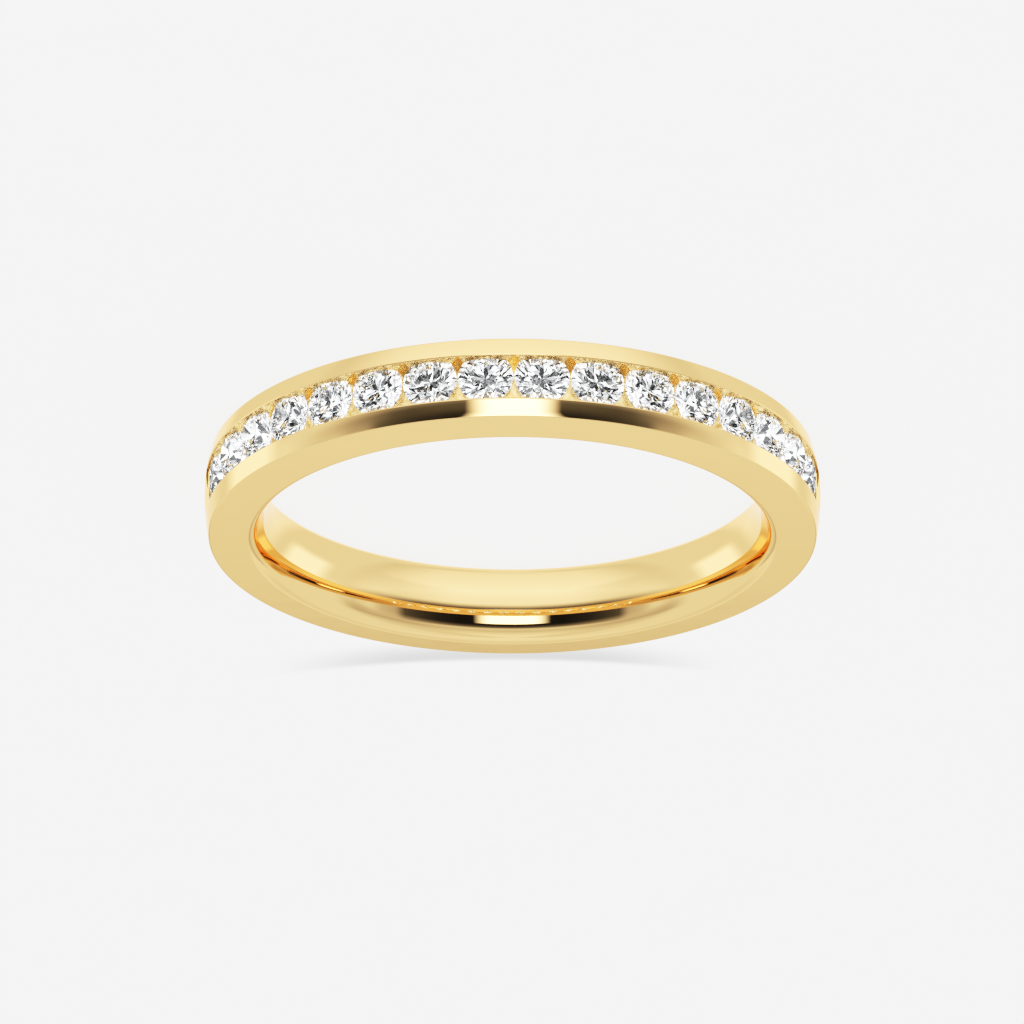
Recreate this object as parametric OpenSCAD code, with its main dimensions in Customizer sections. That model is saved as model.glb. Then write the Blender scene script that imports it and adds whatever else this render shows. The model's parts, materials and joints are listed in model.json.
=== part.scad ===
// Channel set band, lying on its side: the finger hole runs along Z and the
// row of stones faces -Y. The origin is the middle of the finger hole.
// Lengths are in millimetres, angles in degrees.

/* [Band] */
// Diameter of the finger hole
finger_d = 17.3; // [14:0.1:22]
// Width of the band along the finger
band_w = 2.85; // [2.5:0.05:5]
// Wall at the edge of the band in the middle of the stone row
head_t = 2.0; // [1.9:0.05:3]
// Wall at the edge of the band opposite the stones
shank_t = 1.6; // [1.2:0.05:3]
// Height of the domed outside above the edges of the band
crown_h = 0.17; // [0.05:0.01:0.3]
// Radius that eases the two edges of the finger hole
comfort_r = 0.65; // [0.3:0.05:0.9]
// Flat cut on the two outer edges
edge_cut = 0.05; // [0.02:0.01:0.1]

/* [Channel] */
// Opening between the two rails
channel_w = 1.53; // [1.3:0.01:1.7]
// Depth of the channel floor under the girdles
floor_drop = 0.32; // [0.2:0.02:0.4]
// Diameter of the open hole under each stone
azure_d = 1.0; // [0.6:0.05:1.1]
// Gold beyond the first and last seat before the channel ends
end_land = 0.03; // [0.01:0.01:0.2]

/* [Stones] */
// Number of stones in the row
stone_count = 16; // [4:1:20]
// Diameter of a stone at its girdle
stone_d = 1.84; // [1.75:0.01:1.9]
// Gap between neighbouring girdles
stone_gap = 0.03; // [0.02:0.01:0.2]
// Clearance between a stone and its seat
seat_gap = 0.03; // [0.01:0.005:0.05]
// How far the tables lie under the rims of the rails
table_drop = 0.05; // [0:0.01:0.15]
// Height of the girdle
girdle_h = 0.05; // [0.03:0.01:0.08]
// Width of the table as a share of the girdle diameter
table_share = 0.57; // [0.53:0.01:0.62]
// Slope of the crown's main facets
crown_angle = 34.5; // [32:0.5:36]
// Slope of the pavilion's main facets
pavilion_angle = 40.75; // [40:0.25:42]
// Reach of the star facets from the table towards the girdle
star_share = 0.5; // [0.4:0.05:0.6]
// Reach of the lower halves from the girdle towards the culet
half_share = 0.77; // [0.7:0.01:0.85]

/* [Hidden] */
fold = 8;                                  // a brilliant's facets repeat eight times
turn = 360 / fold;
round_fn = 180;
hole_fn = 48;
over = 1;                                  // how far a cut runs past the surface it opens

finger_r = finger_d / 2;
half_w = band_w / 2;
edge_r = (finger_d + head_t + shank_t) / 2;
shift = (head_t - shank_t) / 2;            // centre of the outside, towards the stones
top_r = edge_r + crown_h;
dome_r = (half_w * half_w + crown_h * crown_h) / (2 * crown_h);
rim_r = top_r - dome_r + sqrt(dome_r * dome_r - channel_w * channel_w / 4);

stone_r = stone_d / 2;
table_r = table_share * stone_r;
crown_up = (stone_r - table_r) * tan(crown_angle);
pavilion_down = stone_r * tan(pavilion_angle);
table_at = rim_r - table_drop;
girdle_top = table_at - crown_up;
girdle_low = girdle_top - girdle_h;
culet_at = girdle_low - pavilion_down;
floor_r = girdle_low - floor_drop;

pitch = 2 * asin((stone_d + stone_gap) / 2 / girdle_low);
row_angle = (stone_count - 1) * pitch;
seat_r = stone_r + seat_gap;
seat_angle = asin(seat_r / girdle_low);
end_angle = row_angle / 2 + seat_angle + end_land / girdle_low * 180 / PI;

function two_digits(n) = str(n < 10 ? "0" : "", n);
STONES = [for (i = [1:stone_count]) str("stone_", two_digits(i))];

// Section of the gold outside the finger hole, right of the outside's own axis
module blank_section() {
    side_in = finger_r - shift - over;
    difference() {
        intersection() {
            translate([side_in, -half_w]) square([top_r - side_in, band_w]);
            translate([top_r - dome_r, 0]) circle(r = dome_r, $fn = 4 * round_fn);
        }
        for (side = [-1, 1])
            translate([edge_r, side * half_w])
                rotate(45) square(edge_cut * sqrt(2), center = true);
    }
}

// Section of the finger hole, whose two edges are rounded for comfort
module finger_section() {
    translate([0, -half_w - over]) square([finger_r, band_w + 2 * over]);
    for (side = [0, 1]) mirror([0, side]) {
        translate([0, half_w]) square([finger_r + comfort_r, over]);
        difference() {
            translate([finger_r - over, half_w - comfort_r]) square([over + comfort_r, comfort_r + over / 2]);
            translate([finger_r + comfort_r, half_w - comfort_r]) circle(r = comfort_r, $fn = round_fn);
        }
    }
}

// Puts a thing made along Z, with Z as the way out of the ring, at an angle of the row
module around(angle) {
    translate([0, -shift, 0]) rotate([0, 0, angle]) rotate([90, 0, 0]) children();
}

// The groove between the rails
module channel() {
    translate([0, -shift, 0]) rotate([0, 0, -90 - end_angle])
        rotate_extrude(angle = 2 * end_angle, $fn = 2 * round_fn)
            translate([floor_r, -channel_w / 2]) square([top_r - floor_r + over, channel_w]);
}

// A stone's bearing in the rails and floor, with the hole that opens it to the finger
module seat() {
    inside = finger_r - shift - over;
    low = girdle_low - seat_gap;
    high = girdle_top + seat_gap;
    hole_r = azure_d / 2;
    rotate_extrude($fn = hole_fn) polygon([
        [0, inside],
        [hole_r, inside],
        [hole_r, low - (seat_r - hole_r) * tan(pavilion_angle)],
        [seat_r, low],
        [seat_r, high],
        [table_r, high + (seat_r - table_r) * tan(crown_angle)],
        [0, high + (seat_r - table_r) * tan(crown_angle)]]);
}

module band() {
    color([0.90, 0.77, 0.46])
    difference() {
        translate([0, -shift, 0]) rotate_extrude($fn = 2 * round_fn) blank_section();
        rotate_extrude($fn = 2 * round_fn) finger_section();
        channel();
        for (i = [1:stone_count]) around(place(i)) seat();
    }
}

// Angle of stone i from the middle of the row
function place(i) = (i - (stone_count + 1) / 2) * pitch;

// A point at a distance r from the stone's axis, an angle a round it and a height z
function spot(r, a, z) = [r * cos(a), r * sin(a), z];

// One round brilliant: table, stars, kites and halves over the girdle, and
// halves and mains under it, all meeting at the culet
module brilliant() {
    star_r = table_r * cos(turn / 2) + star_share * (stone_r - table_r * cos(turn / 2));
    star_z = girdle_top + (stone_r - star_r * cos(turn / 2)) * tan(crown_angle);
    half_r = (1 - half_share) * stone_r;
    half_z = girdle_low - (stone_r - half_r * cos(turn / 2)) * tan(pavilion_angle);
    points = concat(
        [for (k = [0:fold - 1]) spot(table_r, k * turn, table_at)],
        [for (k = [0:fold - 1]) spot(star_r, (k + 0.5) * turn, star_z)],
        [for (k = [0:2 * fold - 1]) spot(stone_r, k * turn / 2, girdle_top)],
        [for (k = [0:2 * fold - 1]) spot(stone_r, k * turn / 2, girdle_low)],
        [for (k = [0:fold - 1]) spot(half_r, (k + 0.5) * turn, half_z)],
        [[0, 0, culet_at]]);
    star = fold;
    upper = 2 * fold;
    lower = 4 * fold;
    half = 6 * fold;
    culet = 7 * fold;
    faces = concat(
        [[for (k = [fold - 1:-1:0]) k]],
        [for (k = [0:fold - 1]) let (n = (k + 1) % fold) [k, n, star + k]],
        [for (k = [0:fold - 1]) let (b = (k + fold - 1) % fold) [k, star + k, upper + 2 * k, star + b]],
        [for (k = [0:fold - 1]) [star + k, upper + 2 * k + 1, upper + 2 * k]],
        [for (k = [0:fold - 1]) [star + k, upper + (2 * k + 2) % (2 * fold), upper + 2 * k + 1]],
        [for (k = [0:2 * fold - 1]) let (n = (k + 1) % (2 * fold)) [upper + k, upper + n, lower + n, lower + k]],
        [for (k = [0:fold - 1]) [lower + 2 * k, lower + 2 * k + 1, half + k]],
        [for (k = [0:fold - 1]) [lower + 2 * k + 1, lower + (2 * k + 2) % (2 * fold), half + k]],
        [for (k = [0:fold - 1]) let (b = (k + fold - 1) % fold) [lower + 2 * k, half + k, culet, half + b]]);
    polyhedron(points = points, faces = faces);
}

module stone(i) {
    color([0.93, 0.95, 0.98]) around(place(i)) brilliant();
}

band();
for (i = [1:stone_count]) stone(i);
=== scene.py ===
# %% [markdown]
# # A channel set band
# The ring is cast in one piece of yellow gold. Sixteen round diamonds sit edge to edge in a groove, and
# the rims of its two rails hold them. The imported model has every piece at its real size, so it is loaded
# first and stays as it is. The rest of this lesson makes the gold and the stones again in its place, with
# the soft edges and the finer cut that make a polished ring catch the light.

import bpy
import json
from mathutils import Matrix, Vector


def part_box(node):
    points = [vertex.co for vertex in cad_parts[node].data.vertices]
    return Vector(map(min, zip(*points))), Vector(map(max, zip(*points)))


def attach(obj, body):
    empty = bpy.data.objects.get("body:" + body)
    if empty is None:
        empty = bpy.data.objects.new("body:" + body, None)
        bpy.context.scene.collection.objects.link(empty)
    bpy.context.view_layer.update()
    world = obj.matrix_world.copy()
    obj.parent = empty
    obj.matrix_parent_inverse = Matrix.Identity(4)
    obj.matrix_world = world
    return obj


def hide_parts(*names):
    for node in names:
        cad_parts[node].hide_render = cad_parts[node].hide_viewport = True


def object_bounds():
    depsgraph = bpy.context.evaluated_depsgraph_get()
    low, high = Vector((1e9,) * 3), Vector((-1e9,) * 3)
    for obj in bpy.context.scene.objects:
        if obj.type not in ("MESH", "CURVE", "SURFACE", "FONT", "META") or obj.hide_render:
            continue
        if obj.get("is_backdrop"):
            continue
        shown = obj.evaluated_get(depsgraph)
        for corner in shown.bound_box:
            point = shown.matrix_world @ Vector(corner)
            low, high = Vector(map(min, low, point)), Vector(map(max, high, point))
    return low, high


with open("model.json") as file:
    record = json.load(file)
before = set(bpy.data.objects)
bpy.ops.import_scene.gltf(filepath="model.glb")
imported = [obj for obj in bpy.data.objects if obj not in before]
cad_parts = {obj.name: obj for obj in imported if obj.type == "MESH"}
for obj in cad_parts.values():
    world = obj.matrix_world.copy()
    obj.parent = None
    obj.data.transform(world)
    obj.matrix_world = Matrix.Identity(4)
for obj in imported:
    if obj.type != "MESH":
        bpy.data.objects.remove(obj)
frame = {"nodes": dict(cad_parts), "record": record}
cad_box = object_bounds()
print("packed nodes:", len(frame["nodes"]))

# %% [markdown]
# ## Tools
# The band and the row of stones follow rules, so Geometry Nodes make them. bmesh edits a mesh face by
# face, which suits two single jobs: turning the setter's cutter and grinding a stone.

# %% Bring the tools
import json
from math import asin, atan2, cos, degrees, pi, radians, sin, sqrt, tan

import bmesh
import bpy
from mathutils import Matrix, Vector

print("Blender", bpy.app.version_string)

# %% [markdown]
# ## The band's sizes
# Jewellers think in millimetres, so every length here is in millimetres and MM turns it into Blender's
# metres at the end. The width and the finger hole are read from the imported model. The others are the
# real sizes that the model was drawn with. The outside of the band is a circle whose centre lies a
# little towards the stones, which makes the wall there thicker than at the back.

# %% Note the band's sizes
MM = 0.001
MOUNTS = {mount["name"]: mount for mount in frame["record"]["mounts"]}
FINGER_R = MOUNTS["finger_bore"]["dims"]["r_mm"]
HALF_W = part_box("band")[1].z / MM
HEAD_T = 2.0       # wall at the edge of the band, in the middle of the stones
SHANK_T = 1.6      # the same wall at the back
CROWN_H = 0.17     # rise of the domed outside over its edges
SHIFT = (HEAD_T - SHANK_T) / 2
EDGE_R = FINGER_R + (HEAD_T + SHANK_T) / 2
TOP_R = EDGE_R + CROWN_H
DOME_R = (HALF_W ** 2 + CROWN_H ** 2) / (2 * CROWN_H)


def dome(z):
    """Distance of the domed outside from its axis, at a height z across the band."""
    return TOP_R - DOME_R + sqrt(DOME_R ** 2 - z ** 2)


print(f"finger hole {2 * FINGER_R:.2f} mm, band {2 * HALF_W:.2f} mm wide, outside radius {TOP_R:.2f} mm")

# %% [markdown]
# ## The stones' sizes
# A round brilliant has fixed proportions: the table is a share of the width, and the crown over the
# girdle and the pavilion under it slope at angles that cutters have agreed on. The tables lie just under
# the rims of the rails, and everything below follows from that: girdle, culet and floor of the channel.

# %% Note the stones' sizes
STONES = sorted(name for name in frame["nodes"] if name.startswith("stone_"))
STONE_R = 0.92
STONE_GAP = 0.03        # between two girdles
TABLE_DROP = 0.05       # how far the tables lie under the rims
GIRDLE_H = 0.05
TABLE_SHARE = 0.57
CROWN_SLOPE = radians(34.5)
PAVILION_SLOPE = radians(40.75)
STAR_SHARE = 0.5        # reach of the stars from the table towards the girdle
HALF_SHARE = 0.77       # reach of the lower halves from the girdle towards the culet
CHANNEL_HALF = 0.765
FLOOR_DROP = 0.32       # the channel's floor under the girdles
SEAT_ROOM = 0.03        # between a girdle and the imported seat
END_LAND = 0.03         # gold between the last seat and the end of the channel
AZURE_R = 0.5           # the open hole under each stone

TABLE_R = TABLE_SHARE * STONE_R
TABLE_AT = dome(CHANNEL_HALF) - TABLE_DROP
GIRDLE_TOP = TABLE_AT - (STONE_R - TABLE_R) * tan(CROWN_SLOPE)
GIRDLE_LOW = GIRDLE_TOP - GIRDLE_H
CULET_AT = GIRDLE_LOW - STONE_R * tan(PAVILION_SLOPE)
FLOOR_R = GIRDLE_LOW - FLOOR_DROP
PITCH = 2 * asin((STONE_R + STONE_GAP / 2) / GIRDLE_LOW)
ROW_HALF = (len(STONES) - 1) / 2 * PITCH
ROW_END = ROW_HALF + asin((STONE_R + SEAT_ROOM) / GIRDLE_LOW) + END_LAND / GIRDLE_LOW
print(f"{len(STONES)} stones of {2 * STONE_R:.2f} mm, {degrees(PITCH):.2f} degrees apart")

# %% [markdown]
# ## A shorthand for nodes
# A node tree written out in Python is long and hard to read. A Wire stands for one output of a node and
# takes part in sums like a number, so a formula in a tree looks like the formula on paper.


# %% Make wires and nodes
class Wire:
    """One output of a node. Sums with it add math nodes to the same tree."""

    def __init__(self, tree, socket):
        self.tree = tree
        self.socket = socket

    def math(self, operation, *others):
        return node(self.tree, "ShaderNodeMath", self, *others, operation=operation)

    def __add__(self, other):
        return self.math("ADD", other)

    def __sub__(self, other):
        return self.math("SUBTRACT", other)

    def __mul__(self, other):
        return self.math("MULTIPLY", other)

    def __truediv__(self, other):
        return self.math("DIVIDE", other)

    def output(self, name):
        """Another output of the same node."""
        return Wire(self.tree, self.socket.node.outputs[name])


def node(tree, kind, *values, sockets=None, **settings):
    """Adds a node, fills its inputs in order or by name, and returns its first output as a Wire."""
    made = tree.nodes.new(kind)
    for name, value in settings.items():
        setattr(made, name, value)
    shown = [socket for socket in made.inputs if socket.enabled]
    named = [(made.inputs[name], value) for name, value in (sockets or {}).items()]
    for socket, value in list(zip(shown, values)) + named:
        if isinstance(value, Wire):
            tree.links.new(value.socket, socket)
        elif value is not None:
            socket.default_value = value
    return Wire(tree, next((socket for socket in made.outputs if socket.enabled), None))


print("wires can be added, subtracted, multiplied and divided")

# %% [markdown]
# Three sums come back in many of the trees: the distance from an axis, a step with a soft edge, and a
# window that is open between two values.


# %% Soft steps
def length(x, y):
    """Distance of a place from the axis that x and y are measured from."""
    return (x * x + y * y).math("SQRT")


def smooth_step(value, low, high):
    """Rises from 0 to 1 while the value goes from low to high."""
    return node(value.tree, "ShaderNodeMapRange", value, low, high, 0.0, 1.0,
                interpolation_type="SMOOTHSTEP")


def window(value, low, high, soft):
    """1 between low and high, with soft edges."""
    opens = smooth_step(value, low - soft / 2, low + soft / 2)
    closes = smooth_step(value, high + soft / 2, high - soft / 2)
    return opens * closes


print("soft steps are ready")

# %% [markdown]
# A Geometry Nodes tree needs a geometry going in and out, and a named input for each size. After it has
# run, its result is kept as a plain mesh and the modifier goes, so that nothing is left to be computed.


# %% Start a tree and run it
def new_tree(name, sizes):
    """A Geometry Nodes tree with a geometry going in and out, and an input for each named size."""
    tree = bpy.data.node_groups.new(name, "GeometryNodeTree")
    tree.interface.new_socket("Geometry", in_out="INPUT", socket_type="NodeSocketGeometry")
    for label, kind in sizes.items():
        tree.interface.new_socket(label, in_out="INPUT", socket_type="NodeSocket" + kind)
    tree.interface.new_socket("Geometry", in_out="OUTPUT", socket_type="NodeSocketGeometry")
    start = tree.nodes.new("NodeGroupInput")
    return tree, {socket.name: Wire(tree, socket) for socket in start.outputs if socket.name}


def grow(obj, tree, sizes):
    """Runs a tree on an object, keeps the result as its plain mesh and takes the modifier off."""
    modifier = obj.modifiers.new(tree.name, "NODES")
    modifier.node_group = tree
    for socket in tree.interface.items_tree:
        if socket.in_out == "INPUT" and socket.name in sizes:
            modifier[socket.identifier] = sizes[socket.name]
    evaluated = obj.evaluated_get(bpy.context.evaluated_depsgraph_get())
    obj.data = bpy.data.meshes.new_from_object(evaluated)
    obj.modifiers.remove(modifier)
    print(f"{obj.name}: {len(obj.data.vertices)} vertices, {len(obj.data.polygons)} faces")
    return obj


def link_object(name, mesh):
    """An object at the origin that shows the mesh."""
    obj = bpy.data.objects.new(name, mesh)
    bpy.context.scene.collection.objects.link(obj)
    return obj


# %% [markdown]
# ## The camera
# The photograph looks at the stones from 23 degrees towards one side face, from far away through a long
# lens. The ring lies on its other side face, so the same direction is 23 degrees above the floor. The
# camera is rolled by half a turn, because the photograph shows the ring that way up.

# %% Set the camera
CAMERA_AWAY = 230.0
CAMERA_HEIGHT = radians(23.24)
CAMERA_SIDE = radians(0.24)
IMAGE_PX = 1024
FOCAL_PX = 6665.0      # focal length in pixels of the photograph
RISE_PX = 7.5          # the middle of the ring stands this far over the middle of the photograph
SIDE_PX = 0.5          # and this far to the right of it
SENSOR = 36.0

sideways = Vector((cos(CAMERA_SIDE), sin(CAMERA_SIDE), 0))
ahead = Vector((-sin(CAMERA_SIDE), cos(CAMERA_SIDE), 0))
standpoint = (ahead * -cos(CAMERA_HEIGHT) + Vector((0, 0, sin(CAMERA_HEIGHT)))) * CAMERA_AWAY
image_up = ahead * -sin(CAMERA_HEIGHT) - Vector((0, 0, cos(CAMERA_HEIGHT)))
aim = (sideways * SIDE_PX - image_up * RISE_PX) * (CAMERA_AWAY / FOCAL_PX)
looking = (aim - standpoint).normalized()
right = looking.cross(image_up).normalized()
turned = Matrix((right, right.cross(looking), -looking)).transposed()

lens = bpy.data.cameras.new("photo_camera")
lens.sensor_width = SENSOR
lens.lens = FOCAL_PX / IMAGE_PX * SENSOR
lens.clip_start = 0.01
lens.clip_end = 10
camera = link_object("photo_camera", lens)
camera.matrix_world = Matrix.Translation(standpoint * MM) @ turned.to_4x4()
bpy.context.scene.camera = camera
print(f"camera {CAMERA_AWAY:.0f} mm away, lens {lens.lens:.1f} mm")

# %% [markdown]
# ## Gold
# Polished gold shows almost nothing of its own: its colour tints whatever it mirrors. A metallic
# Principled shader does that. A hand polished band isn't optically flat, so a very shallow, slow wave
# bends the mirror a little, and fine wheel marks blur it here and there. No wheel reaches into the
# channel. There the gold stays as the setter's cutter left it, rougher. Its colour there is painted in
# paler and deeper spots: a painted reflection of the speckled light that the stones and walls mirror
# into each other, and painted light that keeps the channel from looking dark.

# %% Note the gold's tones
GOLD_TONES = ((0.960, 0.708, 0.392, 1), (0.950, 0.696, 0.382, 1))
# The channel's tones are painted reflection and painted light, paler and deeper speckle, not the gold's own
# colour.
PAINTED_SPECKLE_TONES = ((0.97, 0.80, 0.50, 1), (0.93, 0.66, 0.32, 1))
EDGE_TINT = (0.97, 0.88, 0.75, 1)
WAVE_SCALE = 900.0      # the polisher's slow wave
WHEEL_SCALE = 9000.0    # the marks of the wheel
# This scale sets both the cutter's marks in the bump and the painted speckle of light in the channel's
# colour.
CUT_AND_SPECKLE_SCALE = 5200.0      # the marks of the cutter
POLISH_ROUGH = (0.02, 0.05)
CUT_ROUGH = 0.22
CUT_FROM_R = 9.1        # the channel begins outside this distance from the axis
CUT_BELOW_RIM = 0.08
CUT_HALF = (0.97, 0.94)
print("polished tones:", GOLD_TONES[0][:3], GOLD_TONES[1][:3])


# %% Make the gold
def new_material(name):
    """A material with an empty node tree."""
    material = bpy.data.materials.new(name)
    material.use_nodes = True
    material.node_tree.nodes.clear()
    return material, material.node_tree


def blend(tree, share, tones):
    """A colour between two tones."""
    return node(tree, "ShaderNodeMix", share, data_type="RGBA", sockets={"A": tones[0], "B": tones[1]})


def in_channel(where):
    """1 inside the channel and 0 on the polished outside."""
    split = node(where.tree, "ShaderNodeSeparateXYZ", where)
    x = split * (1 / MM)
    y = split.output("Y") * (1 / MM) + SHIFT
    across = (split.output("Z") * (1 / MM)).math("ABSOLUTE")
    deep = window(length(x, y), CUT_FROM_R, dome(CHANNEL_HALF) - CUT_BELOW_RIM, 0.04)
    return deep * smooth_step(across, *CUT_HALF)


def polished_gold():
    material, tree = new_material("polished_gold")
    where = node(tree, "ShaderNodeTexCoord").output("Object")
    wave = node(tree, "ShaderNodeTexNoise", where, sockets={"Scale": WAVE_SCALE, "Detail": 1.0})
    wheel = node(tree, "ShaderNodeTexNoise", where, sockets={"Scale": WHEEL_SCALE, "Detail": 3.0})
    cut_marks_and_speckle = node(tree, "ShaderNodeTexNoise", where, sockets={"Scale": CUT_AND_SPECKLE_SCALE, "Detail": 1.0})
    groove = in_channel(where)
    polished = blend(tree, wave, GOLD_TONES)
    # Painted reflection and painted light: the channel's colour is painted in paler and deeper spots.
    cut = blend(tree, smooth_step(cut_marks_and_speckle, 0.35, 0.65), PAINTED_SPECKLE_TONES)
    rough = node(tree, "ShaderNodeMapRange", wheel, 0.35, 0.65, *POLISH_ROUGH) + groove * CUT_ROUGH
    height = wave * 0.05 + cut_marks_and_speckle * groove * 0.5
    bump = node(tree, "ShaderNodeBump", sockets={"Height": height, "Strength": 1.0, "Distance": 0.00002})
    shader = node(tree, "ShaderNodeBsdfPrincipled", sockets={
        "Base Color": blend(tree, groove, (polished, cut)), "Metallic": 1.0, "Roughness": rough,
        "Normal": bump, "Specular Tint": EDGE_TINT})
    node(tree, "ShaderNodeOutputMaterial", shader)
    return material


GOLD = polished_gold()
print("material:", GOLD.name)

# %% [markdown]
# ## The section of the band
# Cut across, the band shows a domed outside, flat side faces and a finger hole with rounded edges. Where
# the stones are, the groove has two walls and a floor. The section is drawn once, as a closed line of
# points. Each point knows where it lies in the row of stones, where it lies in the plain part, and how
# far it moves between the head and the back. Every sharp edge gets a small round, because a real edge
# has one and it draws a thin line of light.

# %% Note a point of the section
RIM_ROUND = 0.04       # the inner edge of each rail
EDGE_ROUND = 0.06      # the outer edge of the band
HOLD = 0.012           # a point this far before a round keeps a flat face flat in the light


def even(first, last, steps):
    """Numbers from first to last in equal steps, without the last one."""
    return [first + (last - first) * k / steps for k in range(steps)]


def point(row, plain=None, back=None, outer=1.0):
    """One point of the section: places are (distance from the axis, height)."""
    back = back or row
    moves = (back[0] - row[0], back[1] - row[1])
    return {"in_row": row, "plain": plain or row, "to_back": moves, "outer": outer}


print(f"rounds of {RIM_ROUND} and {EDGE_ROUND} mm on the rails and the outer edges")

# %% [markdown]
# ## The wall of the finger hole
# The wall swells a little towards the finger, which jewellers call a comfort curve, and a round leads
# from it to each side face. The photograph shows a crisp edge beside the stones and a wide round at the
# back, so the wall is drawn for both places and every point moves from the one to the other.

# %% Draw the wall of the finger hole
COMFORT = 0.09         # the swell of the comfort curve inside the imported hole
CURVE_R = 2.9          # radius of that curve across the hole's wall
HEAD_EASE = 0.14       # the round where the wall meets the side faces, at the stones
BACK_EASE = 0.62       # the same round at the back
BACK_GROWTH = 1.6      # over 1, the round stays small beside the stones and grows late


def hole_wall(edge):
    """The places from the flat side face round the edge of the finger hole to the middle of its wall."""
    centre_z = HALF_W - edge
    reach = sqrt((CURVE_R - edge) ** 2 - centre_z ** 2)
    centre_r = FINGER_R - COMFORT + CURVE_R - reach
    tilt = atan2(centre_z, reach)
    line = [(centre_r + HOLD, HALF_W)]
    for turn in even(pi / 2, tilt, 16):
        line.append((centre_r - edge * cos(turn), centre_z + edge * sin(turn)))
    for turn in even(tilt, 0, 8) + [0]:
        line.append((FINGER_R - COMFORT + CURVE_R * (1 - cos(turn)), CURVE_R * sin(turn)))
    return line


print(f"the wall of the hole: {len(hole_wall(HEAD_EASE))} points, {COMFORT} mm of swell")

# %% [markdown]
# ## From the channel to the finger
# Half of the section is enough, since the low side mirrors the high one. It starts in the middle of the
# channel's floor, climbs its wall, rounds the rim of the rail, follows the dome to the outer edge and
# goes over the side face into the finger hole. In the plain part the floor and wall points lie on the
# dome instead, so that the same line serves all round the ring.


# %% Draw half of the section
def tangent_round(radius, height):
    """Distance from the axis of the centre of a round that touches the dome from inside, at that height."""
    return TOP_R - DOME_R + sqrt((DOME_R - radius) ** 2 - height ** 2)


def channel_and_rim():
    """The channel's floor and wall and the rim's round, and the slope of the dome where the round ends."""
    points = []
    for z in even(0, CHANNEL_HALF, 4):
        points.append(point((FLOOR_R, z), (dome(z / 2), z / 2)))
    rim_z = CHANNEL_HALF + RIM_ROUND
    rim_r = tangent_round(RIM_ROUND, rim_z)
    for share in even(0, 1, 4):
        plain_z = CHANNEL_HALF * (1 + share) / 2
        wall = (FLOOR_R + (rim_r - FLOOR_R) * share, CHANNEL_HALF)
        points.append(point(wall, (dome(plain_z), plain_z)))
    rim_turn = atan2(rim_z, rim_r - TOP_R + DOME_R)
    for turn in even(-pi / 2, rim_turn, 8):
        z = rim_z + RIM_ROUND * sin(turn)
        points.append(point((rim_r + RIM_ROUND * cos(turn), z), (dome(z), z)))
    return points, rim_turn


def half_section():
    """The points from the middle of the channel over the high side to the middle of the finger hole."""
    points, rim_turn = channel_and_rim()
    edge_z = HALF_W - EDGE_ROUND
    edge_r = tangent_round(EDGE_ROUND, edge_z)
    edge_turn = atan2(edge_z, edge_r - TOP_R + DOME_R)
    first = DOME_R * sin(rim_turn)
    last = DOME_R * sin(edge_turn)
    for z in [first, first + HOLD] + even(first + 2 * HOLD, last - HOLD, 6) + [last - HOLD]:
        points.append(point((dome(z), z)))
    for turn in even(edge_turn, pi / 2, 7) + [pi / 2]:
        points.append(point((edge_r + EDGE_ROUND * cos(turn), edge_z + EDGE_ROUND * sin(turn))))
    points.append(point((edge_r - HOLD, HALF_W)))
    for head, back in zip(hole_wall(HEAD_EASE), hole_wall(BACK_EASE)):
        points.append(point(head, back=back, outer=0.0))
    return points


print("half of the section:", len(half_section()), "points")

# %% [markdown]
# What a point knows is stored on the mesh as attributes. A tree can read them by name later, so the
# drawing and the rule that places it stay apart.

# %% Close the section
PLACES = ("in_row", "plain", "to_back")


def mirrored(p):
    """The same point on the low side."""
    flipped = {name: (p[name][0], -p[name][1]) for name in PLACES}
    return {**flipped, "outer": p["outer"]}


def section_mesh():
    """The closed line of the section, with what each point knows as attributes."""
    high = half_section()
    loop = high + [mirrored(p) for p in reversed(high[1:-1])]
    mesh = bpy.data.meshes.new("section")
    count = len(loop)
    mesh.from_pydata([(*p["in_row"], 0) for p in loop], [(k, (k + 1) % count) for k in range(count)], [])
    for name in PLACES:
        values = mesh.attributes.new(name, "FLOAT_VECTOR", "POINT")
        for k, p in enumerate(loop):
            values.data[k].vector = (*p[name], 0)
    values = mesh.attributes.new("outer", "FLOAT", "POINT")
    for k, p in enumerate(loop):
        values.data[k].value = p["outer"]
    return mesh


SECTION = section_mesh()
print("closed section:", len(SECTION.vertices), "points")

# %% [markdown]
# ## What repeats round the row
# The stones and their seats are one thing each, repeated along an arc. One small Geometry Nodes tree
# does both: it puts a point for each stone, works out its angle from its number, turns the thing that
# way out of the ring and realizes the copies. A number on each copy says which stone it is.


# %% Build the row tree
def row_tree():
    tree, size = new_tree("row_round_the_ring", {"Count": "Int", "Pitch": "Float", "Shift": "Float"})
    points = node(tree, "GeometryNodePoints", size["Count"])
    number = node(tree, "GeometryNodeInputIndex")
    angle = (number - (size["Count"] - 1) * 0.5) * size["Pitch"]
    turn = node(tree, "ShaderNodeCombineXYZ", pi / 2, 0.0, angle)
    copies = node(tree, "GeometryNodeInstanceOnPoints", points,
                  sockets={"Instance": size["Geometry"], "Rotation": turn})
    way = node(tree, "ShaderNodeCombineXYZ", 0.0, size["Shift"] * -1.0, 0.0)
    moved = node(tree, "GeometryNodeTranslateInstances", copies, sockets={"Translation": way})
    named = node(tree, "GeometryNodeStoreNamedAttribute", moved,
                 sockets={"Name": "number", "Value": node(tree, "GeometryNodeInputIndex")},
                 data_type="INT", domain="INSTANCE")
    node(tree, "NodeGroupOutput", node(tree, "GeometryNodeRealizeInstances", named))
    return tree


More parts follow.
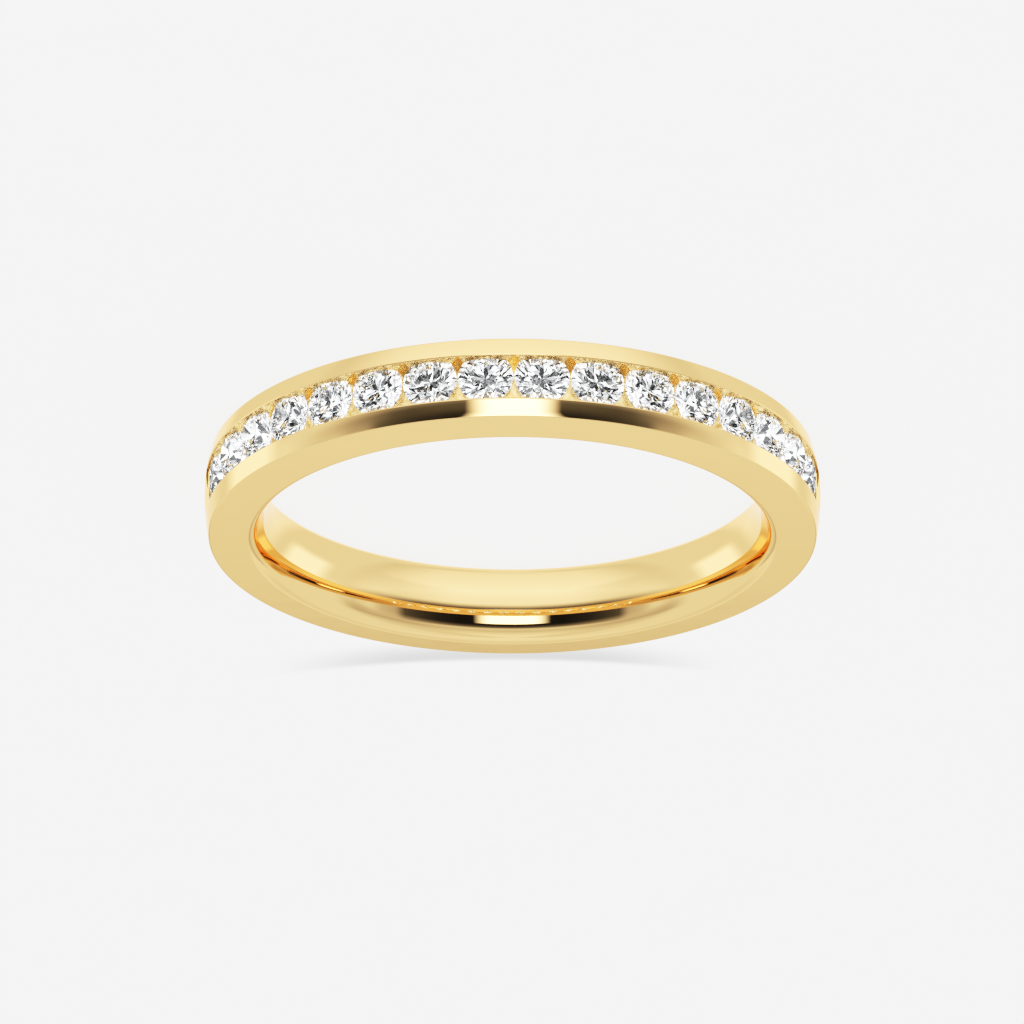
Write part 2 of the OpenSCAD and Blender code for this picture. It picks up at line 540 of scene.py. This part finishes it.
ROW = row_tree()
ROW_SIZES = {"Count": len(STONES), "Pitch": PITCH, "Shift": SHIFT}
print("tree:", ROW.name)

# %% [markdown]
# ## A seat
# The setter cuts a seat for each stone with a bur: a cylinder for the girdle, a cone under it for the
# pavilion, and a shallow cone over it that leaves the rim of the rail standing above the crown. Under
# it a round hole, the azure, goes through to the finger. The bur is a line turned round its axis.

# %% Turn the bur
SEAT_GAP = 0.01
BUR_SIDES = 64
WELD = 1e-4            # points nearer than this are one point


def bur_mesh():
    """The closed shape that a seat takes out of the gold, with Z pointing out of the ring."""
    seat_r = STONE_R + SEAT_GAP
    low = GIRDLE_LOW - SEAT_GAP
    high = GIRDLE_TOP + SEAT_GAP
    inside = FINGER_R - SHIFT - 1
    line = [(0, inside), (AZURE_R, inside), (AZURE_R, low - (seat_r - AZURE_R) * tan(PAVILION_SLOPE)),
            (seat_r, low), (seat_r, high), (0, high + seat_r * tan(CROWN_SLOPE))]
    bm = bmesh.new()
    verts = [bm.verts.new((r, 0, z)) for r, z in line]
    edges = [bm.edges.new(pair) for pair in zip(verts, verts[1:])]
    bmesh.ops.spin(bm, geom=verts + edges, cent=(0, 0, 0), axis=(0, 0, 1), angle=2 * pi, steps=BUR_SIDES)
    bmesh.ops.remove_doubles(bm, verts=bm.verts, dist=WELD / 10)
    bmesh.ops.recalc_face_normals(bm, faces=bm.faces)
    mesh = bpy.data.meshes.new("bur")
    bm.to_mesh(mesh)
    bm.free()
    return mesh


bur = link_object("bur", bur_mesh())
print("bur:", len(bur.data.polygons), "faces")

# %% [markdown]
# ## The band
# The band's shape follows a rule, so a Geometry Nodes tree makes it. The section is swept round a circle
# of columns, and each point is then put where the rule says: in the row or in the plain part, measured
# from the outside's axis or the finger's. Two columns share each end of the row, and the faces between
# them are the channel's end walls. The burs are then cut away, and edges sharper than 30 degrees stay
# crisp.

# %% Note the columns of the band
ROW_COLUMNS = 320
BACK_COLUMNS = 340
SHARP = radians(30)
print(f"{ROW_COLUMNS + BACK_COLUMNS} columns, {degrees(2 * ROW_END):.1f} degrees of them in the row")

# %% [markdown]
# A swept point knows only its own attributes and the number of its column. The column's number gives its
# angle, the angle tells how near it is to the back, and both give its place in the ring.


# %% Place the columns
def stored(tree, name, kind):
    """Reads a named attribute inside a tree."""
    return node(tree, "GeometryNodeInputNamedAttribute", name, data_type=kind)


def column_angle(size, column, in_row):
    """Angle of a column from the middle of the stones: the row's columns first, then the back's."""
    end = size["Row end"]
    row_angle = end * 2.0 * column / (size["Row columns"] - 1) - end
    share = (column - size["Row columns"]) / (size["Back columns"] - 1)
    back_angle = (end * -2.0 + 2 * pi) * share + end
    return in_row * row_angle + (in_row * -1.0 + 1.0) * back_angle


def column_place(tree, size):
    """Where a point of the swept section goes."""
    column = stored(tree, "column", "FLOAT")
    in_row = column.math("LESS_THAN", size["Row columns"])
    angle = column_angle(size, column, in_row)
    base = node(tree, "ShaderNodeMix", data_type="VECTOR", sockets={
        "Factor": in_row,
        "A": stored(tree, "plain", "FLOAT_VECTOR"),
        "B": stored(tree, "in_row", "FLOAT_VECTOR")})
    at_back = (angle.math("COSINE") * -0.5 + 0.5).math("POWER", size["Back growth"])
    to_back = node(tree, "ShaderNodeVectorMath", stored(tree, "to_back", "FLOAT_VECTOR"),
                   sockets={"Scale": at_back}, operation="SCALE")
    spot = node(tree, "ShaderNodeVectorMath", base, to_back, operation="ADD")
    reach = node(tree, "ShaderNodeSeparateXYZ", spot)
    x = reach * angle.math("SINE")
    y = reach * angle.math("COSINE") * -1.0 - stored(tree, "outer", "FLOAT") * size["Shift"]
    return node(tree, "ShaderNodeCombineXYZ", x, y, reach.output("Y"))


print("the columns read:", ", ".join(PLACES))

# %% [markdown]
# The tree first makes the blank, as a goldsmith does, and cuts the seats out of it afterwards. A boolean
# needs both shapes closed and facing outwards, so the doubled points at the seam are merged before it.


# %% Build the band tree
def finished(tree, shape, size):
    """Ends a tree: the shape from millimetres to metres, as one real mesh with its material."""
    scale = node(tree, "ShaderNodeCombineXYZ", size["Scale"], size["Scale"], size["Scale"])
    small = node(tree, "GeometryNodeTransform", shape, sockets={"Scale": scale})
    real = node(tree, "GeometryNodeRealizeInstances", small)
    painted = node(tree, "GeometryNodeSetMaterial", real, sockets={"Material": size["Finish"]})
    node(tree, "NodeGroupOutput", painted)
    return tree


def band_tree():
    tree, size = new_tree("band_from_section", {
        "Row end": "Float", "Row columns": "Int", "Back columns": "Int", "Back growth": "Float",
        "Shift": "Float", "Bur": "Object", "Count": "Int", "Pitch": "Float", "Scale": "Float",
        "Finish": "Material"})
    circle = node(tree, "GeometryNodeCurvePrimitiveCircle", size["Row columns"] + size["Back columns"])
    path = node(tree, "GeometryNodeStoreNamedAttribute", circle,
                sockets={"Name": "column", "Value": node(tree, "GeometryNodeInputIndex")},
                data_type="FLOAT", domain="POINT")
    profile = node(tree, "GeometryNodeMeshToCurve", size["Geometry"])
    swept = node(tree, "GeometryNodeCurveToMesh", path, sockets={"Profile Curve": profile})
    placed = node(tree, "GeometryNodeSetPosition", swept, sockets={"Position": column_place(tree, size)})
    blank = node(tree, "GeometryNodeMergeByDistance", placed, sockets={"Distance": WELD})

    bur_shape = node(tree, "GeometryNodeObjectInfo", size["Bur"]).output("Geometry")
    seats = node(tree, "GeometryNodeGroup", node_tree=ROW, sockets={
        "Geometry": bur_shape, "Count": size["Count"], "Pitch": size["Pitch"], "Shift": size["Shift"]})
    cut = node(tree, "GeometryNodeMeshBoolean", operation="DIFFERENCE", solver="EXACT",
               sockets={"Mesh 1": blank, "Mesh 2": seats})
    crease = node(tree, "GeometryNodeInputMeshEdgeAngle").math("LESS_THAN", SHARP)
    soft = node(tree, "GeometryNodeSetShadeSmooth", cut, domain="EDGE", sockets={"Shade Smooth": crease})
    return finished(tree, soft, size)


BAND = band_tree()
print("tree:", BAND.name, "with", len(BAND.nodes), "nodes")

# %% [markdown]
# The tree runs once, with the sizes from above. The polished band then takes the place of the imported one,
# which is hidden, hangs on the root body and takes the polished gold as its finish.

# %% Make the band
band = grow(link_object("band_polished", SECTION), BAND, {
    "Row end": ROW_END, "Row columns": ROW_COLUMNS, "Back columns": BACK_COLUMNS, "Back growth": BACK_GROWTH,
    "Bur": bur, **ROW_SIZES, "Scale": MM, "Finish": GOLD})
bpy.data.objects.remove(bur)
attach(band, "root")
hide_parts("band")
band.data.calc_loop_triangles()
print("triangles in the band:", len(band.data.loop_triangles))

# %% [markdown]
# ## A brilliant
# A cutter starts from a round blank and grinds one flat facet after another, each at its own slope and
# direction. The same is done here with a plane that cuts the mesh: eight mains, sixteen halves and eight
# stars over the girdle, eight mains and sixteen halves under it. The flats then meet in exact points,
# and the girdle gets the scalloped edge of a real stone.

# %% Grind one facet
GIRDLE_SIDES = 96
TURN = pi / 4          # a brilliant repeats eight times round its axis


def grind(bm, direction, slope, reach, height, up):
    """Cuts off what lies outside a plane through a point at that reach and height, sloping down from it."""
    normal = Vector((cos(direction) * sin(slope), sin(direction) * sin(slope), up * cos(slope)))
    through = Vector((cos(direction) * reach, sin(direction) * reach, height))
    cut = bmesh.ops.bisect_plane(bm, geom=bm.verts[:] + bm.edges[:] + bm.faces[:],
                                 plane_co=through, plane_no=normal, clear_outer=True, dist=1e-6)
    rim = [part for part in cut["geom_cut"] if isinstance(part, bmesh.types.BMEdge)]
    bmesh.ops.contextual_create(bm, geom=rim)


print("directions to grind in:", round(2 * pi / TURN))


# %% Grind the stone
def brilliant_mesh():
    """A round brilliant with Z pointing out of the ring, in millimetres."""
    half_turn = TURN / 4
    star_r = TABLE_R * cos(TURN / 2) * (1 - STAR_SHARE) + STONE_R * STAR_SHARE
    star_z = GIRDLE_TOP + (STONE_R - star_r * cos(TURN / 2)) * tan(CROWN_SLOPE)
    low_r = (1 - HALF_SHARE) * STONE_R
    low_z = GIRDLE_LOW - (STONE_R - low_r * cos(TURN / 2)) * tan(PAVILION_SLOPE)
    upper_slope = atan2(star_z - GIRDLE_TOP, (STONE_R - star_r) * cos(half_turn))
    lower_slope = atan2(GIRDLE_LOW - low_z, (STONE_R - low_r) * cos(half_turn))
    star_slope = atan2(TABLE_AT - star_z, star_r - TABLE_R * cos(TURN / 2))
    middle = Matrix.Translation((0, 0, (TABLE_AT + CULET_AT) / 2))
    bm = bmesh.new()
    bmesh.ops.create_cone(bm, cap_ends=True, segments=GIRDLE_SIDES, radius1=STONE_R, radius2=STONE_R,
                          depth=TABLE_AT - CULET_AT, matrix=middle)
    for k in range(8):
        main = k * TURN
        grind(bm, main, CROWN_SLOPE, STONE_R, GIRDLE_TOP, 1)
        grind(bm, main, PAVILION_SLOPE, STONE_R, GIRDLE_LOW, -1)
        grind(bm, main + TURN / 2, star_slope, star_r, star_z, 1)
        for side in (-1, 1):
            half = main + side * half_turn
            grind(bm, half, upper_slope, STONE_R * cos(half_turn), GIRDLE_TOP, 1)
            grind(bm, half, lower_slope, STONE_R * cos(half_turn), GIRDLE_LOW, -1)
    bmesh.ops.remove_doubles(bm, verts=bm.verts, dist=WELD)
    bmesh.ops.dissolve_degenerate(bm, edges=bm.edges, dist=WELD)
    bmesh.ops.recalc_face_normals(bm, faces=bm.faces)
    mesh = bpy.data.meshes.new("brilliant")
    bm.to_mesh(mesh)
    bm.free()
    return mesh


BRILLIANT = brilliant_mesh()
FLATS = sum(abs(face.normal.z) > 0.01 for face in BRILLIANT.polygons)
print(f"brilliant: {FLATS} facets, {len(BRILLIANT.polygons) - FLATS} girdle faces")

# %% [markdown]
# ## Diamond
# A diamond bends light more than glass does, and its facets are polished perfectly flat. A Principled
# shader with full transmission, no roughness and diamond's index of 2.417 gives that. Few stones are
# quite without colour, so a faint cloud of growth makes the blue a touch stronger here and there.

# %% Make the diamond
DIAMOND_INDEX = 2.417
DIAMOND_TONES = ((0.985, 0.993, 1, 1), (0.965, 0.982, 1, 1))


def cut_diamond():
    material, tree = new_material("cut_diamond")
    where = node(tree, "ShaderNodeTexCoord").output("Object")
    growth = node(tree, "ShaderNodeTexNoise", where, sockets={"Scale": 1500.0, "Detail": 2.0})
    shader = node(tree, "ShaderNodeBsdfPrincipled", sockets={
        "Base Color": blend(tree, growth, DIAMOND_TONES), "Roughness": 0.0, "IOR": DIAMOND_INDEX,
        "Transmission Weight": 1.0})
    node(tree, "ShaderNodeOutputMaterial", shader)
    return material


DIAMOND = cut_diamond()
print("material:", DIAMOND.name)

# %% [markdown]
# ## The stones
# The row tree sets the brilliant sixteen times. Each copy is then lifted out as a piece of its own, so
# that a stone can be picked, hidden or changed by itself.


# %% Set the row of stones
def stones_tree():
    tree, size = new_tree("stones_in_a_row", {
        "Count": "Int", "Pitch": "Float", "Shift": "Float", "Scale": "Float", "Finish": "Material"})
    row_inputs = {label: size[label] for label in ("Geometry", "Count", "Pitch", "Shift")}
    copies = node(tree, "GeometryNodeGroup", node_tree=ROW, sockets=row_inputs)
    return finished(tree, copies, size)


row = link_object("row_of_stones", BRILLIANT)
row = grow(row, stones_tree(), {**ROW_SIZES, "Scale": MM, "Finish": DIAMOND})


# %% Lift each stone out
def lift_stone(row_mesh, number, name):
    """A piece with only the copy of that number."""
    bm = bmesh.new()
    bm.from_mesh(row_mesh)
    layer = bm.verts.layers.int["number"]
    bmesh.ops.delete(bm, geom=[v for v in bm.verts if v[layer] != number], context="VERTS")
    mesh = bpy.data.meshes.new(name)
    bm.to_mesh(mesh)
    bm.free()
    mesh.materials.append(DIAMOND)
    return link_object(name, mesh)


for number, name in enumerate(STONES):
    stone = lift_stone(row.data, number, name + "_cut")
    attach(stone, "root")
    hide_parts(name)
bpy.data.objects.remove(row)
print(f"{len(STONES)} stones with {len(stone.data.polygons)} faces each")

# %% [markdown]
# ## The room round the gold
# Polished metal is drawn by what stands round it. The photograph's studio is pale all over. Black flags
# stand on both sides in front of the stones, and a white panel hangs between them, which gives the dark
# and white bands on the rail and inside the finger hole. The room and the flags are painted into the
# world by direction, so that they never stand in a camera's way. A direction has a turn to the side, a
# rise over the front and an elevation over the floor, and lists of stops give each a brightness.

# %% Note the room's brightness
ROOM = [(-180, 0.90), (-150, 1.20), (-80, 1.0), (-68, 1.08), (-50, 1.2), (-34, 1.33), (-24, 1.22),
        (-12, 1.15), (10, 1.0), (44, 0.70), (70, 1.0), (100, 1.06), (140, 0.84), (155, 1.0), (156.0, 0.945),
        (157.4, 0.89), (158.8, 0.58), (164, 0.80), (180, 0.90)]
FLAGS_LOW = [(0, 0.20), (27, 0.19), (37, 0.165), (43, 0.19), (51, 0.33), (60, 0.5), (68, 0.69), (76, 0.82),
             (88, 1.0), (97, 1.2)]
FLAGS_HIGH = [(0, 0.03), (24, 0.03), (27, 0.04), (34, 0.06), (40, 0.09), (46, 0.13), (49.5, 0.16),
              (54, 0.57), (61, 0.66), (67, 0.91), (76, 0.78), (88, 1.0), (97, 1.2)]


def directions(tree):
    """Rise, turn and elevation of the direction that is asked for, in degrees, and its height."""
    split = node(tree, "ShaderNodeSeparateXYZ", node(tree, "ShaderNodeTexCoord").output("Generated"))
    across = split.math("ABSOLUTE")
    towards = split.output("Y") * -1.0
    up = split.output("Z")
    rise = up.math("ARCTAN2", towards) * (180 / pi)
    turn = across.math("ARCTAN2", towards) * (180 / pi)
    elevation = up.math("ARCSINE") * (180 / pi)
    return rise, turn, elevation, up


def by_angle(angle, stops):
    """A brightness that follows a list of (degrees, value) stops."""
    share = angle.math("ADD", 180.0) / 360.0
    ramp = node(angle.tree, "ShaderNodeValToRGB", share)
    elements = ramp.socket.node.color_ramp.elements
    while len(elements) < len(stops):
        elements.new(0.5)
    for element, (degree, value) in zip(elements, stops):
        element.position = (degree + 180) / 360
        element.color = (value / 2, value / 2, value / 2, 1)
    return ramp * 2.0


print(f"stops: {len(ROOM)} for the room, {len(FLAGS_LOW)} and {len(FLAGS_HIGH)} for the flags")

# %% Paint the room and the flags
FLAG_BOTTOM = (-15.0, -6.0)
FLAG_TOP = (32.0, 15.0)
FLAG_END = (97.0, 88.0)
FLAG_STEP = (-7.0, 4.0)     # from the low list to the high one
BOX_TURN = (97.0, 126.0)
BOX_HEIGHT = (-0.45, -0.02)
SIDE_TURN = (80.0, 142.0)


def room_light(rise, turn, elevation, up):
    """The pale room, a little dimmer towards its sides, with a soft box low on the left and right."""
    later = turn - smooth_step(elevation, -30.0, -40.0) * 20.0
    dim = smooth_step(later, 20.0, 58.0) * smooth_step(turn, 120.0, 90.0) * -0.20 + 1.0
    boxes = window(turn, *BOX_TURN, 12.0) * window(up, *BOX_HEIGHT, 0.12)
    sides = window(turn, *SIDE_TURN, 16.0)
    return node(turn.tree, "ShaderNodeMix", sides, by_angle(rise, ROOM) * dim, boxes * 0.48 + 0.93)


def flag_light(turn, elevation):
    """The black flags, which fade out at their outer ends."""
    high = smooth_step(elevation, *FLAG_STEP)
    return node(turn.tree, "ShaderNodeMix", high, by_angle(turn, FLAGS_LOW), by_angle(turn, FLAGS_HIGH))


def gold_light(rise, turn, elevation, up):
    """What the gold mirrors: the flags in front, the room everywhere else."""
    bottom = smooth_step(elevation, *FLAG_BOTTOM)
    top = smooth_step(rise, *FLAG_TOP)
    end = smooth_step(turn, *FLAG_END)
    return node(turn.tree, "ShaderNodeMix", bottom * top * end,
                room_light(rise, turn, elevation, up), flag_light(turn, elevation))


print(f"the flags stand between {FLAG_BOTTOM[0]:.0f} and {FLAG_TOP[0]:.0f} degrees of height")

# %% [markdown]
# ## The light in the stones
# A diamond flashes because each of its facets finds another lamp or another dark spot. In a plain white
# room it would be a grey bead. So the stones get a tent of square lamps with dark squares between them,
# and two dark cards, one round the lens and one under it. Light that reaches the world through a stone
# is a transmission ray, which tells it apart from light that the gold mirrors.

# %% Paint the lamps
LAMP_PITCH = 23.0           # degrees from lamp to lamp
LAMP_START = (5.0, 3.0)     # where the squares begin, to the side and up
LAMP_EDGE = 3.0             # how sharply a lamp ends
LAMP_MEAN = 1.2
LAMP_SWING = 0.92           # lamps are brighter and the squares between darker by this
LENS_CARD = (8.0, 40.0)
LENS_CARD_END = (26.0, 20.0)
LOW_CARD = (-36.0, -10.0)
LOW_CARD_TURN = (12.0, 60.0)
CARD_SOFT = 5.0
CARD_DARK = 0.98


def gem_light(rise, turn, elevation):
    """What the stones see: a tent of lamps in squares, with a card before the lens and one under it."""
    columns = ((turn + LAMP_START[0]) * (2 * pi / LAMP_PITCH)).math("SINE")
    rows = ((elevation + LAMP_START[1]) * (2 * pi / LAMP_PITCH)).math("SINE")
    squares = (columns * rows * LAMP_EDGE).math("MAXIMUM", -1.0).math("MINIMUM", 1.0)
    lens_card = window(rise, *LENS_CARD, CARD_SOFT) * smooth_step(turn, *LENS_CARD_END)
    low_card = window(elevation, *LOW_CARD, CARD_SOFT) * window(turn, *LOW_CARD_TURN, CARD_SOFT)
    cards = lens_card.math("MAXIMUM", low_card)
    return (squares * LAMP_SWING + LAMP_MEAN) * (cards * -CARD_DARK + 1.0)


print(f"lamps every {LAMP_PITCH:.0f} degrees")

# %% [markdown]
# ## One world for all rays
# The camera and the paper see a plain pale room. The gold's rays see the room with the flags, the rays
# through the stones see the lamps. A perfectly sharp mirror ray can only come from the outside of a
# stone, and it is kept low, so that the pattern of the facets isn't veiled by a shine over it.

# %% Light the ring
PALE = 1.08            # the plain backdrop
GLARE = 0.12           # what the outsides of the stones mirror


def studio_world():
    world = bpy.data.worlds.new("studio")
    world.use_nodes = True
    world.cycles.sampling_method = "NONE"     # each kind of ray sees its own light, so none is aimed
    tree = world.node_tree
    tree.nodes.clear()
    rise, turn, elevation, up = directions(tree)
    ray = node(tree, "ShaderNodeLightPath")
    mirrored_ray = ray.output("Is Glossy Ray")
    sharp_ray = ray.output("Is Singular Ray") * mirrored_ray
    light = node(tree, "ShaderNodeMix", mirrored_ray, PALE, gold_light(rise, turn, elevation, up))
    light = node(tree, "ShaderNodeMix", sharp_ray, light, GLARE)
    lamps = gem_light(rise, turn, elevation)
    light = node(tree, "ShaderNodeMix", ray.output("Is Transmission Ray"), light, lamps)
    node(tree, "ShaderNodeOutputWorld", node(tree, "ShaderNodeBackground", (1, 1, 1, 1), light))
    bpy.context.scene.world = world
    return world


print("world:", studio_world().name)

# %% [markdown]
# ## The white panel
# The panel hangs near the ring, so the curved rail and the hole's wall see it under different angles.
# A world is infinitely far away and can't do that, so the panel is a real sheet that glows. It is wider
# in its upper part and fades at its sides. Only mirrored rays see it, so it never covers a view.

# %% Hang the white panel
PANEL_AWAY = 65.0
PANEL_Z = (-7.6, 20.0)
PANEL_X = (8.0, 18.3)       # fully bright up to here, dark from there
PANEL_WIDER = 3.6           # how much wider the upper part is
PANEL_STEP = (0.0, 5.0)     # the heights between which it widens
PANEL_LIGHT = 2.5


def panel_material():
    material, tree = new_material("white_panel")
    split = node(tree, "ShaderNodeSeparateXYZ", node(tree, "ShaderNodeTexCoord").output("Object"))
    across = (split * (1 / MM)).math("ABSOLUTE")
    height = split.output("Z") * (1 / MM)
    inward = across - smooth_step(height, *PANEL_STEP) * PANEL_WIDER
    sides = node(tree, "ShaderNodeMapRange", inward, PANEL_X[1], PANEL_X[0], 0.0, 1.0)
    glow = sides * window(height, *PANEL_Z, 2.0)
    light = node(tree, "ShaderNodeEmission", (1, 1, 1, 1), glow * PANEL_LIGHT)
    clear = node(tree, "ShaderNodeBsdfTransparent", (1, 1, 1, 1))
    node(tree, "ShaderNodeOutputMaterial", node(tree, "ShaderNodeAddShader", clear, light))
    material.cycles.emission_sampling = "NONE"     # only what is mirrored shows it
    return material


def white_panel():
    reach = (PANEL_X[1] + PANEL_WIDER) * MM
    low, high = (PANEL_Z[0] - 1) * MM, (PANEL_Z[1] + 1) * MM
    corners = [(-reach, low), (reach, low), (reach, high), (-reach, high)]
    mesh = bpy.data.meshes.new("white_panel")
    mesh.from_pydata([(x, -PANEL_AWAY * MM, z) for x, z in corners], [], [(3, 2, 1, 0)])
    mesh.materials.append(panel_material())
    panel = link_object("white_panel", mesh)
    panel.visible_camera = False
    panel.visible_diffuse = False
    panel.visible_transmission = False
    panel.visible_shadow = False
    panel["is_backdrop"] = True


white_panel()
print(f"panel {PANEL_Z[1] - PANEL_Z[0]:.1f} mm high, {PANEL_AWAY:.0f} mm before the ring")

# %% [markdown]
# ## The floor
# The ring lies on pale paper with faint fibres. Most of the paper's light is a glow of its own, so it is
# as even as the backdrop. The light that would cast the photograph's shadow comes over the ring from the
# front, so the shadow is painted on the paper behind the ring: a thin bow at its far edge and a soft
# crescent between the bow and the band.

# %% Shade the paper
PAPER_TONES = (0.095, 0.105)
PAPER_GLOW = 0.975
SHADOW_DEPTH = 0.32
BOW_AT = 17.4               # where the bow crosses the middle, behind the finger hole's axis
BOW_BEND = 0.02
BOW_FRONT = (-1.9, 0.1)     # the soft side, towards the ring
BOW_BACK = (0.8, 0.2)       # the sharp side
BOW_HALF = (9.5, 3.0)       # where its ends fade out
SHADOW_AWAY = 2 * HALF_W / tan(CAMERA_HEIGHT)


def bow_shadow(x, y):
    """A thin curved line, sharp on the side away from the ring."""
    bow = y - x * x * BOW_BEND - BOW_AT
    ends = smooth_step((x - 0.5).math("ABSOLUTE"), *BOW_HALF)
    return smooth_step(bow, *BOW_BACK) * smooth_step(bow, *BOW_FRONT) * ends


def crescent_shadow(x, y):
    """What lies between the band and the same band moved back, fading to the sides."""
    from_ring = length(x, y + SHIFT)
    away = y - (SHADOW_AWAY - SHIFT)
    from_shadow = length(x, away)
    outside = smooth_step(from_ring, EDGE_R - 0.4, EDGE_R)
    inside = smooth_step(from_shadow, EDGE_R - 0.1, EDGE_R - 1.6)
    return outside * inside * smooth_step(away, 0.0, 6.0) * 0.9


def paper():
    material, tree = new_material("studio_paper")
    where = node(tree, "ShaderNodeTexCoord").output("Object")
    fibre = node(tree, "ShaderNodeTexNoise", where, sockets={"Scale": 300.0, "Detail": 2.0})
    tone = node(tree, "ShaderNodeMapRange", fibre, 0.0, 1.0, *PAPER_TONES)
    split = node(tree, "ShaderNodeSeparateXYZ", where)
    x = split * (1 / MM)
    y = split.output("Y") * (1 / MM)
    shadow = bow_shadow(x, y).math("MAXIMUM", crescent_shadow(x, y))
    sheet = node(tree, "ShaderNodeBsdfDiffuse", tone)
    glow = node(tree, "ShaderNodeEmission", (1, 1, 1, 1), shadow * -SHADOW_DEPTH + PAPER_GLOW)
    node(tree, "ShaderNodeOutputMaterial", node(tree, "ShaderNodeAddShader", sheet, glow))
    return material


PAPER = paper()
print("material:", PAPER.name)

# %% Lay the floor
FLOOR_REACH = 2.0


def paper_floor():
    bm = bmesh.new()
    bmesh.ops.create_circle(bm, cap_ends=True, segments=64, radius=FLOOR_REACH,
                            matrix=Matrix.Translation((0, 0, -HALF_W * MM)))
    mesh = bpy.data.meshes.new("floor")
    bm.to_mesh(mesh)
    bm.free()
    mesh.materials.append(PAPER)
    floor = link_object("floor", mesh)
    floor.visible_glossy = False
    floor.visible_transmission = False
    floor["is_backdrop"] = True


paper_floor()
print("floor laid", round(HALF_W, 3), "mm under the middle of the ring")

# %% [markdown]
# ## How the stones and the lens see
# The photographed stones stay white in their gold channel, as if they were lit by themselves, so the
# band is hidden from the rays inside them. Light crosses a stone many times, so it may bounce 32 times.
# A camera's film darkens the shadows and rolls off the whites, and a curve from the scene's brightness
# to the picture's does that here.

# %% Set the look
BOUNCES = 32
FILM = [(0.0, 0.0), (0.058, 0.02), (0.106, 0.05), (0.169, 0.1), (0.268, 0.2), (0.351, 0.3), (0.428, 0.4),
        (0.508, 0.5), (0.6, 0.6), (0.712, 0.7), (0.857, 0.8), (1.01, 0.88), (1.18, 0.94), (1.4, 0.985),
        (1.7, 1.0)]
FILM_END = 4.0

band.visible_transmission = False
scene = bpy.context.scene
scene.cycles.max_bounces = BOUNCES
scene.cycles.glossy_bounces = BOUNCES
scene.cycles.transmission_bounces = BOUNCES
scene.view_settings.view_transform = "Standard"
scene.view_settings.use_curve_mapping = True
response = scene.view_settings.curve_mapping
response.clip_max_x = FILM_END
response.clip_max_y = FILM_END
curve = response.curves[3]
curve.points[0].location = FILM[0]
curve.points[1].location = (FILM_END, 1.0)
for spot in FILM[1:]:
    curve.points.new(*spot)
for spot in curve.points:
    spot.handle_type = "AUTO_CLAMPED"
response.update()
print("points on the film curve:", len(curve.points))

# %% [markdown]
# ## The sizes of both rings
# The dressed ring must be as big as the imported one. Both boxes are printed in millimetres, lowest
# corner first.

# %% Print the sizes
dressed_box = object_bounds()
boxes = {"cad": [list(corner) for corner in cad_box], "visual": [list(corner) for corner in dressed_box]}
for name, box in boxes.items():
    print(name, [round(value / MM, 3) for corner in box for value in corner])
